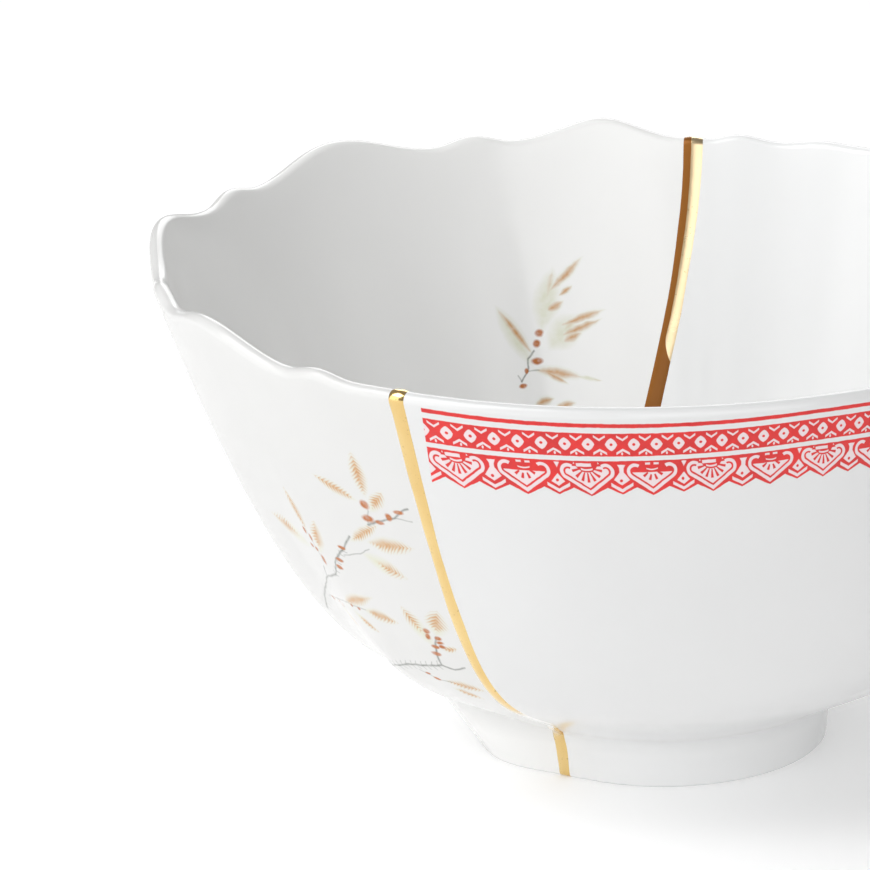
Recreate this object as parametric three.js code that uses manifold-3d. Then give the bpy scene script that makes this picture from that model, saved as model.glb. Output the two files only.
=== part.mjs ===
// Kintsugi bowl: two unlike porcelain halves joined edge to edge by one gold-lacquer seam.
// Millimetres, +Z up, origin on the table under the middle of the whole bowl's box.
// +X is to the right, -Y is to the front, and azimuths are degrees counted from +X towards +Y
// about the plain half's own axis.
import * as THREE from 'three';
import { mergeVertices } from 'three/addons/utils/BufferGeometryUtils.js';
import Module from 'manifold-3d';

const wasm = await Module();
wasm.setup();

// Wall and rim
const rimRadius = 95;             // plain rim, outside edge
const bowlHeight = 100;           // top of the plain rim above the table
const rimThickness = 3.2;         // rounded lip, and the wall just below it
const wallAtFoot = 4.6;           // wall where it leaves the foot
const floorHeight = 12;           // middle of the inside floor above the table
const rimLean = 0.32;             // how far the wall flares out for each millimetre up, at the rim
const wallDrop = 78.8;            // length over which the upper wall keeps that lean

// Plain half: near upright foot ring under a low, full belly
const plainFootRadius = 31.8;     // foot ring at the table
const plainFootTop = 32.6;        // foot ring where the belly starts
const plainFootHeight = 9.8;
const plainBellyReach = 43.6;     // how far the belly sets off outwards from the foot
const plainBellySlope = 0.55;     // rise of the belly there, for each millimetre out

// Lobed half: foot spreading like a cone into a shorter belly, set off to the left
const lobedFootRadius = 35.4;
const lobedFootTop = 43.9;
const lobedFootHeight = 17.3;
const lobedBellyReach = 9.5;
const lobedBellySlope = 0.75;
const lobedShift = 7;             // how far its side stands out past the plain circle
const lobedShiftAtTable = 4.6;    // the same for the foot, at the table
const lobedLift = 2.4;            // how far its rim climbs above the plain rim
const lobedTilt = 2;              // how much higher that rim is at the back than at the front
const lobedFootBlend = 30;        // degrees over which one foot turns into the other at each crack
const shiftFullness = 1.2;        // below 1 the shift swells out quickly beside the cracks
const liftFullness = 1.4;

// Scalloped rim of the lobed half: large lobes with a small one between each two
const lobePitch = 37.7;           // degrees from one large lobe to the next
const firstLobe = 92.7;           // azimuth of the large lobe beside the back crack
const largeLobeShare = 0.72;      // part of the pitch that a large lobe takes
const largeLobeRise = 4.4;
const largeLobeOut = 1.7;
const smallLobeRise = 1.5;
const smallLobeOut = 0.5;
const fluteDepth = 60;            // how far down the wall the lobes fade out
const lobeFade = 14;              // degrees over which the lobes die away at each crack

// Soft waves left in the plain rim just past the back crack
const waveRise = 1.4;
const wavePitch = 12;             // degrees from crest to crest
const waveFirst = 6;              // degrees from the crack to the first crest
const waveDecay = 12;             // degrees in which the waves shrink to about a third

// Foot ring and the hollow under it
const footRingWidth = 5;          // bottom face, inside to outside
const footEdge = 0.8;             // bevel along both of its edges
const recessHeight = 7;           // roof of the hollow above the table
const recessDraft = 2;            // how far the hollow narrows towards its roof
const shoulderFillet = 3.5;       // rounding between the foot and the belly

// Crack and seam: azimuths of the crack at the rim, at the belly and on the foot
const crackBackRim = 82.8;
const crackBackFoot = 103.3;
const crackBackCurve = 1.83;      // above 1 the back crack bends mostly low down
const crackFrontRim = 236;
const crackFrontBelly = 243;
const crackFrontCurve = 3;        // the same for the front crack, above its swing
const crackFrontFoot = 226;
const crackBellyHeight = 21;      // below this the front crack swings over to the foot
const crackFootHeight = 8;        // and here it has arrived
const crackStraight = 26;         // the crack runs straight out from this radius, and bends within it
const seamWidthFront = 2.5;       // gold on the outside at the front
const seamWidthBack = 3.4;        // gold on the inside at the back
const seamProud = 0.3;            // how far the gold stands above the glaze
const seamClearance = 0.3;        // gap between the gold and each half

// Fineness of the faceted surfaces
const azimuthSteps = 96;
const bellySteps = 12;
const innerSteps = 9;
const floorSteps = 4;
const lipSteps = 4;
const innerStart = 0.14;          // share of the belly curve where the floor takes over inside
const filletSteps = 3;
const crackSteps = 18;
const crackLevels = 10;
const levelCrowding = 1.6;        // above 1 the crack's levels lie closer together low down
const crackMargin = 25;           // how far the cutting curtains run past the bowl
const farAside = 200;             // and how far they reach to either side
const tiny = 1e-4;                // corners closer than this are one corner

const lipRadius = rimThickness / 2;
const toRadians = THREE.MathUtils.degToRad;
const mix = THREE.MathUtils.lerp;
const ease = (x) => THREE.MathUtils.smoothstep(x, 0, 1);
const point = (r, z) => new THREE.Vector2(r, z);
const middle = point(0, 0);

// Place along the lobed half, from 0 at the back crack to 1 at the front crack
const lobedSpan = crackFrontRim - crackBackRim;
const acrossLobed = (azimuth) => (azimuth - crackBackRim) / lobedSpan;

// Swelling that is nothing at both cracks and whole in the middle of the lobed half
function swell(azimuth, fullness) {
  const across = acrossLobed(azimuth);
  return across > 0 && across < 1 ? Math.sin(Math.PI * across) ** fullness : 0;
}

// Large and small lobes, each from 0 in a notch to 1 on its crest
function lobes(azimuth) {
  const across = acrossLobed(azimuth);
  if (across <= 0 || across >= 1) return { large: 0, small: 0 };
  const fromCrack = Math.min(across, 1 - across) * lobedSpan;
  const fade = ease(fromCrack / lobeFade);
  const turns = (azimuth - firstLobe) / lobePitch;
  const offCrest = Math.abs(turns - Math.round(turns));
  const halfLarge = largeLobeShare / 2;
  const halfSmall = 0.5 - halfLarge;
  const crest = (x) => Math.cos(Math.PI / 2 * x) ** 2;
  if (offCrest < halfLarge) return { large: fade * crest(offCrest / halfLarge), small: 0 };
  return { large: 0, small: fade * crest((0.5 - offCrest) / halfSmall) };
}

// Dying waves in the plain rim, behind the back crack
function plainWaves(azimuth) {
  const past = crackBackRim - azimuth;
  if (past < 0 || past > 4 * waveDecay) return 0;
  const start = ease(past / waveFirst);
  const wave = Math.cos(2 * Math.PI * (past - waveFirst) / wavePitch);
  return waveRise * start * Math.exp(-past / waveDecay) * wave;
}

// Everything about the wall that changes with the azimuth
function sectionAt(azimuth) {
  const shift = lobedShift * swell(azimuth, shiftFullness);
  const lift = swell(azimuth, liftFullness);
  const across = acrossLobed(azimuth);
  const { large, small } = lobes(azimuth);
  const fromFootCrack = Math.min(azimuth - crackBackFoot, crackFrontFoot - azimuth);
  const isLobed = ease(fromFootCrack / lobedFootBlend);
  return {
    lobeOut: largeLobeOut * large + smallLobeOut * small,
    rim: point(
      rimRadius + shift,
      bowlHeight + lobedLift * lift - lobedTilt * (across - 0.5) * lift
        + largeLobeRise * large + smallLobeRise * small + plainWaves(azimuth),
    ),
    footRadius: mix(plainFootRadius, lobedFootRadius, isLobed) + shift * lobedShiftAtTable / lobedShift,
    footTop: point(
      mix(plainFootTop, lobedFootTop, isLobed) + shift,
      mix(plainFootHeight, lobedFootHeight, isLobed),
    ),
    bellyReach: mix(plainBellyReach, lobedBellyReach, isLobed),
    bellySlope: mix(plainBellySlope, lobedBellySlope, isLobed),
  };
}

// Flutes: the lobes' outward swell fades out down the wall
function fluteOut(section, height) {
  return section.lobeOut * ease(1 - (section.rim.y - height) / fluteDepth);
}

// Half section of the wall at one azimuth, as [radius, height] points from the roof of the hollow
// under the foot, round the outside and over the lip, to the middle of the floor.
// Proud moves every face outwards by that much, except the one that stands on the table.
function wallSection(azimuth, proud) {
  const section = sectionAt(azimuth);
  const { rim, footRadius, footTop } = section;

  // Belly and wall, from the foot's top to the start of the lip
  const lipFoot = point(rim.x, rim.y - lipRadius * (1 + rimLean / Math.hypot(1, rimLean)));
  const belly = new THREE.CubicBezierCurve(
    footTop,
    point(footTop.x + section.bellyReach, footTop.y + section.bellyReach * section.bellySlope),
    point(lipFoot.x - wallDrop * rimLean, lipFoot.y - wallDrop),
    lipFoot,
  );
  const inward = (t) => {
    const along = belly.getTangent(t);
    return point(-along.y, along.x);
  };
  const onWall = (t, depth) => {
    const place = belly.getPoint(t).addScaledVector(inward(t), depth);
    place.x += fluteOut(section, place.y);
    return place;
  };
  const bellyStart = shoulderFillet / (3 * section.bellyReach * Math.hypot(1, section.bellySlope));
  const share = (i, steps, from, to) => mix(from, to, i / steps);

  // Hollow under the foot and the ring that stands on the table
  const ringInside = footRadius - footRingWidth;
  const points = [
    point(0, recessHeight - proud),
    point(ringInside - recessDraft - proud, recessHeight - proud),
    point(ringInside - proud, footEdge),
    point(ringInside + footEdge, 0),
    point(footRadius - footEdge, 0),
    point(footRadius + proud, footEdge),
  ];

  // Rounded shoulder between the foot and the belly
  const footSide = point(footTop.x - footRadius, footTop.y).normalize();
  const filletFrom = footTop.clone().addScaledVector(footSide, -shoulderFillet);
  const fillet = new THREE.QuadraticBezierCurve(filletFrom, footTop, belly.getPoint(bellyStart));
  for (let i = 0; i < filletSteps; i++) {
    const along = fillet.getTangent(i / filletSteps);
    const place = fillet.getPoint(i / filletSteps).add(point(along.y, -along.x).multiplyScalar(proud));
    points.push(place);
  }

  // Outside of the wall, then the lip as a half circle, then the inside
  for (let i = 0; i < bellySteps; i++) points.push(onWall(share(i, bellySteps, bellyStart, 1), -proud));
  const over = inward(1);
  const lipMiddle = onWall(1, lipRadius);
  for (let i = 0; i <= lipSteps; i++) {
    const turn = Math.PI * i / lipSteps;
    const spoke = point(-Math.cos(turn) * over.x, -Math.cos(turn) * over.y)
      .add(point(over.y, -over.x).multiplyScalar(Math.sin(turn)));
    points.push(lipMiddle.clone().addScaledVector(spoke, lipRadius + proud));
  }
  const depthAt = (t) => mix(wallAtFoot, rimThickness, t) + proud;
  for (let i = 1; i <= innerSteps; i++) {
    const t = share(i, innerSteps, 1, innerStart);
    points.push(onWall(t, depthAt(t)));
  }

  // Floor: one curve that leaves the wall along its slope and is level in the middle
  const floorEdge = points.at(-1);
  const slope = belly.getTangent(innerStart);
  const level = floorHeight + proud;
  const floorTurn = point(floorEdge.x - (floorEdge.y - level) * slope.x / slope.y, level);
  const floor = new THREE.QuadraticBezierCurve(floorEdge, floorTurn, point(0, level));
  for (let i = 1; i <= floorSteps; i++) points.push(floor.getPoint(i / floorSteps));
  return points;
}

// Solid from triangles given as corners in threes; faces that have shrunk to a line are left out
function solidFrom(corners) {
  const kept = [];
  for (let i = 0; i < corners.length; i += 3) {
    const [a, b, c] = corners.slice(i, i + 3);
    const isFace = a.distanceTo(b) > tiny && b.distanceTo(c) > tiny && c.distanceTo(a) > tiny;
    if (isFace) kept.push(a, b, c);
  }
  let volume = 0;
  for (let i = 0; i < kept.length; i += 3) {
    volume += kept[i].dot(kept[i + 1].clone().cross(kept[i + 2]));
  }
  if (volume < 0) kept.reverse();
  const geometry = mergeVertices(new THREE.BufferGeometry().setFromPoints(kept), tiny);
  return new wasm.Manifold(new wasm.Mesh({
    numProp: 3,
    vertProperties: new Float32Array(geometry.attributes.position.array),
    triVerts: new Uint32Array(geometry.index.array),
  }));
}

// Two triangles over four corners in order
const quad = (a, b, c, d) => [a, b, c, a, c, d];

// Corners of the faces between two rows of points
function strip(row, next, isLoop) {
  const corners = [];
  const last = isLoop ? row.length : row.length - 1;
  for (let j = 0; j < last; j++) {
    const k = (j + 1) % row.length;
    corners.push(...quad(row[j], next[j], next[k], row[k]));
  }
  return corners;
}

// Whole bowl, as if it had never been broken
function bowl(proud) {
  const rows = [];
  for (let i = 0; i < azimuthSteps; i++) {
    const azimuth = 360 * i / azimuthSteps;
    const turn = toRadians(azimuth);
    const place = ({ x, y }) => new THREE.Vector3(x * Math.cos(turn), x * Math.sin(turn), y);
    rows.push(wallSection(azimuth, proud).map(place));
  }
  return solidFrom(rows.flatMap((row, i) => strip(row, rows[(i + 1) % rows.length], false)));
}

// Azimuths of the crack at a height: it wanders on the back wall, and at the front it keeps
// to one line down the belly and then swings over to the foot
function crackAt(height) {
  const down = THREE.MathUtils.clamp(1 - height / bowlHeight, 0, 1);
  const swing = ease((crackBellyHeight - height) / (crackBellyHeight - crackFootHeight));
  return {
    back: mix(crackBackRim, crackBackFoot, down ** crackBackCurve),
    front: mix(mix(crackFrontRim, crackFrontBelly, down ** crackFrontCurve), crackFrontFoot, swing),
  };
}

// Solid between two walls that follow the crack. Each wall stands a distance off it towards the
// lobed half, as a function of the place along it, 0 at the back and 1 at the front, and is then
// carried aside along X.
function curtain(near, far) {
  const bottom = -crackMargin;
  const top = bowlHeight + lobedLift + largeLobeRise + crackMargin;
  const reach = rimRadius + lobedShift + crackMargin;
  const lines = [];
  for (let k = 0; k <= crackLevels; k++) {
    // The levels are closer together low down, where the crack bends most
    const height = mix(bottom, top, (k / crackLevels) ** levelCrowding);
    const { back, front } = crackAt(height);
    const at = (radius, azimuth) => point(radius, 0).rotateAround(middle, toRadians(azimuth));
    const curve = new THREE.CurvePath();
    const bendFrom = at(crackStraight, back);
    const bendTo = at(crackStraight, front);
    curve.add(new THREE.LineCurve(at(reach, back), bendFrom));
    curve.add(new THREE.QuadraticBezierCurve(bendFrom, middle, bendTo));
    curve.add(new THREE.LineCurve(bendTo, at(reach, front)));
    lines.push({ height, curve });
  }
  const wall = (along, { off, aside }) => lines.map(({ height, curve }) => {
    const heading = curve.getTangent(along);
    const place = curve.getPoint(along).addScaledVector(point(heading.y, -heading.x), off(along));
    return new THREE.Vector3(place.x + aside, place.y, height);
  });
  const rows = [];
  for (let i = 0; i <= crackSteps; i++) {
    const along = i / crackSteps;
    rows.push({ near: wall(along, near), far: wall(along, far) });
  }
  const loops = rows.map((row) => [...row.near, ...row.far.toReversed()]);
  const corners = loops.slice(1).flatMap((loop, i) => strip(loops[i], loop, true));
  corners.push(...strip(rows[0].far, rows[0].near, false));
  corners.push(...strip(rows.at(-1).near, rows.at(-1).far, false));
  return solidFrom(corners);
}

// Named mesh of a finished solid
function piece(name, solid, material) {
  const { vertProperties, triVerts } = solid.getMesh();
  const geometry = new THREE.BufferGeometry();
  geometry.setAttribute('position', new THREE.BufferAttribute(vertProperties, 3));
  geometry.setIndex(new THREE.BufferAttribute(triVerts, 1));
  geometry.computeVertexNormals();
  const mesh = new THREE.Mesh(geometry, material);
  mesh.name = name;
  return mesh;
}

// The gold is a thin slab along the crack, through the whole wall and a little proud of it; each
// half stops short of it. Facing walls are both the near one or both the far one, so that their
// facets match.
const halfSeam = (along) => mix(seamWidthBack, seamWidthFront, along) / 2;
const towardsLobed = (clearance, aside) => ({ off: (along) => halfSeam(along) + clearance, aside });
const towardsPlain = (clearance, aside) => ({ off: (along) => -halfSeam(along) - clearance, aside });

const whole = bowl(0);
const lobedSide = curtain(towardsLobed(seamClearance, 0), towardsLobed(seamClearance, -farAside));
const plainSide = curtain(towardsPlain(seamClearance, farAside), towardsPlain(seamClearance, 0));
const lobedHalf = whole.intersect(lobedSide);
const plainHalf = whole.intersect(plainSide);
const goldSeam = bowl(seamProud).intersect(curtain(towardsLobed(0, 0), towardsPlain(0, 0)));

const porcelain = new THREE.MeshStandardMaterial({ color: 0xf0f0ee, roughness: 0.12, metalness: 0 });
const coolPorcelain = new THREE.MeshStandardMaterial({ color: 0xe9eaea, roughness: 0.12, metalness: 0 });
const gold = new THREE.MeshStandardMaterial({ color: 0xd9a441, roughness: 0.2, metalness: 1 });

const kintsugiBowl = new THREE.Group();
kintsugiBowl.add(
  piece('lobed_half', lobedHalf, porcelain),
  piece('plain_half', plainHalf, coolPorcelain),
  piece('gold_seam', goldSeam, gold),
);

// The plain half's axis stands a little off the origin, because the lobed half reaches further out
const boxMiddle = new THREE.Box3().setFromObject(kintsugiBowl).getCenter(new THREE.Vector3());
kintsugiBowl.position.set(-boxMiddle.x, -boxMiddle.y, 0);

export default kintsugiBowl;
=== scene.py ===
"""Kintsugi bowl: one deep porcelain bowl made of two unlike halves, joined by a line of gold.

Sizes are in millimetres and become metres as each mesh is made. Azimuths are degrees about the
plain half's own axis, counted from +X towards +Y.
"""

import math

import bmesh
import bpy
import numpy as np
from mathutils import Matrix, Vector, geometry, noise


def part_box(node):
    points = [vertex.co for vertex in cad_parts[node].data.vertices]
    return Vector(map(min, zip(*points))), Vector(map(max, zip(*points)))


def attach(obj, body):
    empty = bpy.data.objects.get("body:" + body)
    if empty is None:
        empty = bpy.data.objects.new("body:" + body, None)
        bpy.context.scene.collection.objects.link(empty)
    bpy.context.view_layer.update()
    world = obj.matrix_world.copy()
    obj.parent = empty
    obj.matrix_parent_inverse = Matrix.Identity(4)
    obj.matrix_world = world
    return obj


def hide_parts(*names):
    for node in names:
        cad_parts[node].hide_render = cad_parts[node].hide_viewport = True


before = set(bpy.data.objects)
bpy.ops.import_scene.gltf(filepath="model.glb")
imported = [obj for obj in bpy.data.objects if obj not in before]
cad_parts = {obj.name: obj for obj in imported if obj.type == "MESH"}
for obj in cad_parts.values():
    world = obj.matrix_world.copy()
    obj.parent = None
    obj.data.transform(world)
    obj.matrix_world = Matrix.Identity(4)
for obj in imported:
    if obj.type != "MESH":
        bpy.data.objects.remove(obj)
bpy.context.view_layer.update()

MM = 0.001

# Wall and rim
RIM_RADIUS = 95
BOWL_HEIGHT = 100
RIM_THICKNESS = 3.2
WALL_AT_FOOT = 4.6
FLOOR_HEIGHT = 12
RIM_LEAN = 0.32
WALL_DROP = 78.8

# Plain half
PLAIN_FOOT_RADIUS = 31.8
PLAIN_FOOT_TOP = 32.6
PLAIN_FOOT_HEIGHT = 9.8
PLAIN_BELLY_REACH = 43.6
PLAIN_BELLY_SLOPE = 0.55

# Lobed half
LOBED_FOOT_RADIUS = 35.4
LOBED_FOOT_TOP = 43.9
LOBED_FOOT_HEIGHT = 17.3
LOBED_BELLY_REACH = 9.5
LOBED_BELLY_SLOPE = 0.75
LOBED_SHIFT = 7
LOBED_SHIFT_AT_TABLE = 4.6
LOBED_LIFT = 2.4
LOBED_TILT = 2
LOBED_FOOT_BLEND = 30
SHIFT_FULLNESS = 1.2
LIFT_FULLNESS = 1.4

# Scallops of the lobed rim
LOBE_PITCH = 37.7
FIRST_LOBE = 92.7
LARGE_LOBE_SHARE = 0.72
LARGE_LOBE_RISE = 4.4
LARGE_LOBE_OUT = 1.7
SMALL_LOBE_RISE = 1.5
SMALL_LOBE_OUT = 0.5
FLUTE_DEPTH = 60
LOBE_FADE = 14

# Soft waves of the plain rim beside the back crack
WAVE_RISE = 1.4
WAVE_PITCH = 12
WAVE_FIRST = 6
WAVE_DECAY = 12

# Foot ring and the hollow under it
FOOT_RING_WIDTH = 5
FOOT_EDGE = 0.8
RECESS_HEIGHT = 7
RECESS_DRAFT = 2
PLAIN_FILLET = 3.5
LOBED_FILLET = 8

# Crack and gold
CRACK_BACK_RIM = 82.8
CRACK_BACK_FOOT = 103.3
CRACK_BACK_CURVE = 1.83
CRACK_FRONT_RIM = 236
CRACK_FRONT_BELLY = 243
CRACK_FRONT_CURVE = 3
CRACK_FRONT_FOOT = 226
CRACK_BELLY_HEIGHT = 21
CRACK_FOOT_HEIGHT = 8
CRACK_STRAIGHT = 26
GOLD_WIDTH_FRONT = 2.6
GOLD_WIDTH_BACK = 3.5
GOLD_CROWN = 0.28         # height of the gold's rounded top over the glaze
GOLD_SINK = 0.06          # how deep its two edges sit in the glaze
GOLD_OVERLAP = 0.4        # how far each half runs on under the gold
GOLD_FLARE = 0.5          # more on each side at the rim
GOLD_FLARE_FROM = 62
GOLD_UNEVEN = 0.22        # how far its edges wander

# Fineness of the meshes
HALF_COLUMNS = 224
BELLY_ROWS = 72
INSIDE_ROWS = 42
LIP_ROWS = 12
INNER_START = 0.14
MIDDLE_RADIUS = 22        # within it the floor and the hollow's roof are the middle of the bowl
MIDDLE_ROWS = 9
SHARP_ANGLE = 38
WELD = 1e-4

BACK, FRONT = "back", "front"
BACK_AZIMUTH = 90
FRONT_AZIMUTH = 270

# Porcelain
PLAIN_WHITE = (0.84, 0.845, 0.845)
LOBED_WHITE = (0.86, 0.86, 0.85)
DEEPER_WHITE = 0.965
# The outside above the foot is painted darker than the inside: painted shade, not a glaze of its
# own.
PLAIN_PAINTED_SHADE = 0.81        # painted shade: the glaze outside above the foot is this much darker than the rest
LOBED_PAINTED_SHADE = 0.78
PAINTED_SHADE_FROM = 12

# Red border: heights in millimetres, azimuths in degrees, the rest in the lace's own unit
BORDER_TOP = 97.45
BORDER_START = 239.2
BORDER_MIDDLE = -8         # degrees from the front where the border hangs lowest
BORDER_SPREAD = 23
BORDER_LIFT = 0.7
BORDER_TIGHTEN = 0.0027   # how much lower the lace gets with each degree to the right
BORDER_END = 440.4
BORDER_SLANT = -0.05      # degrees to a millimetre, of its cut end beside the front gold
BORDER_TURNS = ((-1, 361),)
BORDER_HEIGHTS = (79, 101)
BORDER_WARP = 0.0031      # how the drawn pattern tightens along the rim
BORDER_STEADY = 24        # degrees from the front at which it stops tightening
LACE_DOWN = 70.6
LACE_SWAY = 16
LACE_BLUR = 9
LINE_MIDDLE = 50
LINE_HALF = 31
BAND_TOP = 165
BAND_BOTTOM = 520
RING_LINE = 335
RING_PITCH = 361
RING_AT_FRONT = 10.25     # the count of rings there, and of hearts
RINGS_PER_DEGREE = 0.4
LACE_TOP = 590
HEART_PITCH = 975
HEART_AT_FRONT = 3.51
HEARTS_PER_DEGREE = 0.141
HEART_TIP = 515
RED_BRIGHT = (0.7, 0.008, 0.006, 1)
RED_DEEP = (0.58, 0.005, 0.006, 1)
LACE_GROUND = (0.80, 0.60, 0.63, 1)

# Painted sprigs
BARBS = 7.8               # strokes of the feathering, in radians a millimetre
SPRIG_REPEAT = 82         # degrees round to the same sprig on the far side
SPRIG_REPEAT_END = 172
OUTSIDE_SPRIG_TURNS = ((114, 156), (196, 241))
OUTSIDE_SPRIG_HEIGHTS = (26, 87)
INSIDE_SPRIG_TURNS = ((90, 121),)
INSIDE_SPRIG_HEIGHTS = (37, 80)
SPRIG_GREEN = (0.64, 0.65, 0.48, 1)
SPRIG_BROWN = (0.54, 0.245, 0.075, 1)
SPRIG_GREY = (0.19, 0.2, 0.18, 1)
SPRIG_BERRY = (0.45, 0.155, 0.05, 1)

# Gold
GOLD_BRIGHT = (0.83, 0.62, 0.27, 1)
GOLD_DEEP = (0.76, 0.52, 0.19, 1)
GOLD_SPECK = (0.4, 0.22, 0.06, 1)
GOLD_PALE = (0.68, 0.53, 0.32, 1)
# Painted reflection: a brown laid over the inside of the back gold where it reflects dark, at one
# edge and lower down.
PAINTED_REFLECTION_BROWN = (0.3, 0.12, 0.028, 1)
REFLECTION_EDGE = 0.4          # from the middle of the back gold to the edge of its painted dark reflection
REFLECTION_BELOW = 60.5        # the painted dark reflection widens over the whole line below this height
REFLECTION_WIDENS = 0.064
REFLECTION_END = 24
FADE_TOP = 25.5           # heights between which the front gold has worn away
FADE_BOTTOM = 15

# Light
ROOM_LIGHT = 0.3
TABLE_GLOW = 0.205
SOFT_LIGHTS = (           # name, place and width in metres, watts
    ("high_window", (-1, -0.4, 1.3), 1.1, 17),
    ("low_window", (-1.4, -0.5, 0.25), 1.1, 5.8),
    ("front", (0.26, -1.4, 0.57), 1.1, 7.8),
    ("behind", (0.2, 1.5, 0.9), 1.1, 9),
)

# The photograph's camera, its place counted from the bowl's axis on the table
CAMERA_AT = (-46.1, -1149.1, 442.3)
CAMERA_PITCH = 18.15
CAMERA_ROLL = -2.14
CAMERA_LENS = 248.3

# The axis of the plain half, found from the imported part
_low, _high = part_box("plain_half")
AXIS = Vector((_high.x - RIM_RADIUS * MM, _low.y + RIM_RADIUS * MM, 0))


def mix(a, b, t):
    return a + (b - a) * t


def smooth(x):
    x = np.clip(x, 0, 1)
    return x * x * (3 - 2 * x)


def place(radius, height):
    """Points of a section, the radius and the height in the last axis."""
    return np.stack(np.broadcast_arrays(np.asarray(radius, float), height), -1)


def polar(radius, azimuth):
    turn = np.radians(azimuth)
    return place(radius * np.cos(turn), radius * np.sin(turn))


def bezier(controls, t):
    """Point and unit heading of a Bezier curve at t."""
    while len(controls) > 2:
        controls = [mix(a, b, t) for a, b in zip(controls, controls[1:])]
    heading = controls[1] - controls[0]
    return mix(*controls, t), heading / np.linalg.norm(heading, axis=-1, keepdims=True)


# Form of the wall

LOBED_SPAN = CRACK_FRONT_RIM - CRACK_BACK_RIM


def swell(across, fullness):
    """Nothing at both cracks and whole in the middle of the lobed half."""
    inside = (across > 0) & (across < 1)
    return np.where(inside, np.sin(np.pi * np.clip(across, 0, 1)) ** fullness, 0)


def lobes(azimuth, across):
    """Large and small lobes, each from 0 in a notch to 1 on its crest."""
    inside = (across > 0) & (across < 1)
    fade = np.where(inside, smooth(np.minimum(across, 1 - across) * LOBED_SPAN / LOBE_FADE), 0)
    turns = (azimuth - FIRST_LOBE) / LOBE_PITCH
    off_crest = np.abs(turns - np.round(turns))
    half_large = LARGE_LOBE_SHARE / 2
    half_small = 0.5 - half_large
    is_large = off_crest < half_large
    large = np.cos(np.pi / 2 * np.minimum(off_crest / half_large, 1)) ** 2
    small = np.cos(np.pi / 2 * np.minimum((0.5 - off_crest) / half_small, 1)) ** 2
    return np.where(is_large, fade * large, 0), np.where(is_large, 0, fade * small)


def plain_waves(azimuth):
    past = CRACK_BACK_RIM - azimuth
    wave = np.cos(2 * np.pi * (past - WAVE_FIRST) / WAVE_PITCH)
    fade = smooth(past / WAVE_FIRST) * np.exp(-np.maximum(past, 0) / WAVE_DECAY)
    return np.where((past < 0) | (past > 4 * WAVE_DECAY), 0, WAVE_RISE * fade * wave)


class Section:
    """Everything about the wall that changes with the azimuth."""

    def __init__(self, azimuth):
        azimuth = np.asarray(azimuth, float) % 360
        across = (azimuth - CRACK_BACK_RIM) / LOBED_SPAN
        shift = LOBED_SHIFT * swell(across, SHIFT_FULLNESS)
        lift = swell(across, LIFT_FULLNESS)
        large, small = lobes(azimuth, across)
        from_crack = np.minimum(azimuth - CRACK_BACK_FOOT, CRACK_FRONT_FOOT - azimuth)
        is_lobed = smooth(from_crack / LOBED_FOOT_BLEND)
        self.lobe_out = LARGE_LOBE_OUT * large + SMALL_LOBE_OUT * small
        self.rim = place(
            RIM_RADIUS + shift,
            BOWL_HEIGHT + LOBED_LIFT * lift - LOBED_TILT * (across - 0.5) * lift
            + LARGE_LOBE_RISE * large + SMALL_LOBE_RISE * small + plain_waves(azimuth),
        )
        self.foot_radius = mix(PLAIN_FOOT_RADIUS, LOBED_FOOT_RADIUS, is_lobed) \
            + shift * LOBED_SHIFT_AT_TABLE / LOBED_SHIFT
        self.foot_top = place(
            mix(PLAIN_FOOT_TOP, LOBED_FOOT_TOP, is_lobed) + shift,
            mix(PLAIN_FOOT_HEIGHT, LOBED_FOOT_HEIGHT, is_lobed),
        )
        reach = mix(PLAIN_BELLY_REACH, LOBED_BELLY_REACH, is_lobed)
        slope = mix(PLAIN_BELLY_SLOPE, LOBED_BELLY_SLOPE, is_lobed)
        lip_radius = RIM_THICKNESS / 2
        lip_foot = self.rim - [0, lip_radius * (1 + RIM_LEAN / math.hypot(1, RIM_LEAN))]
        self.belly = [
            self.foot_top,
            self.foot_top + place(reach, reach * slope),
            lip_foot - [WALL_DROP * RIM_LEAN, WALL_DROP],
            lip_foot,
        ]
        self.fillet = mix(PLAIN_FILLET, LOBED_FILLET, is_lobed)
        self.belly_start = self.fillet / (3 * reach * np.hypot(1, slope))

    def on_wall(self, t, depth):
        """A point at a depth inside the wall's outer face, and the direction inwards there."""
        t = np.asarray(t, float)[..., None]
        spot, heading = bezier(self.belly, t)
        inward = place(-heading[..., 1], heading[..., 0])
        spot = spot + inward * np.asarray(depth, float)[..., None]
        flute = smooth(1 - (self.rim[..., 1] - spot[..., 1]) / FLUTE_DEPTH)
        spot[..., 0] += self.lobe_out * flute
        return spot, inward

    def floor_ends(self, proud):
        """Where the floor's curve starts on the wall, and the point that bends it level."""
        depth = mix(WALL_AT_FOOT, RIM_THICKNESS, INNER_START) + proud
        edge, _ = self.on_wall(INNER_START, depth)
        _, slope = bezier(self.belly, np.asarray([INNER_START]))
        level = FLOOR_HEIGHT + proud
        turn = edge[..., 0] - (edge[..., 1] - level) * slope[..., 0] / slope[..., 1]
        return edge, turn, level

    def floor_height(self, radius, proud):
        """Height of the floor at a radius, from its own curve."""
        edge, turn, level = self.floor_ends(proud)
        a = edge[..., 0] - 2 * turn
        b = 2 * turn - 2 * edge[..., 0]
        c = edge[..., 0] - radius
        root = np.sqrt(np.maximum(b * b - 4 * a * c, 0))
        away = 2 * c / (-b + root)
        return level + (edge[..., 1] - level) * (1 - np.clip(away, 0, 1)) ** 2


FOOT_PARTS = ("middle_roof", "roof", "hollow", "inner_edge", "stand", "outer_edge")


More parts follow.
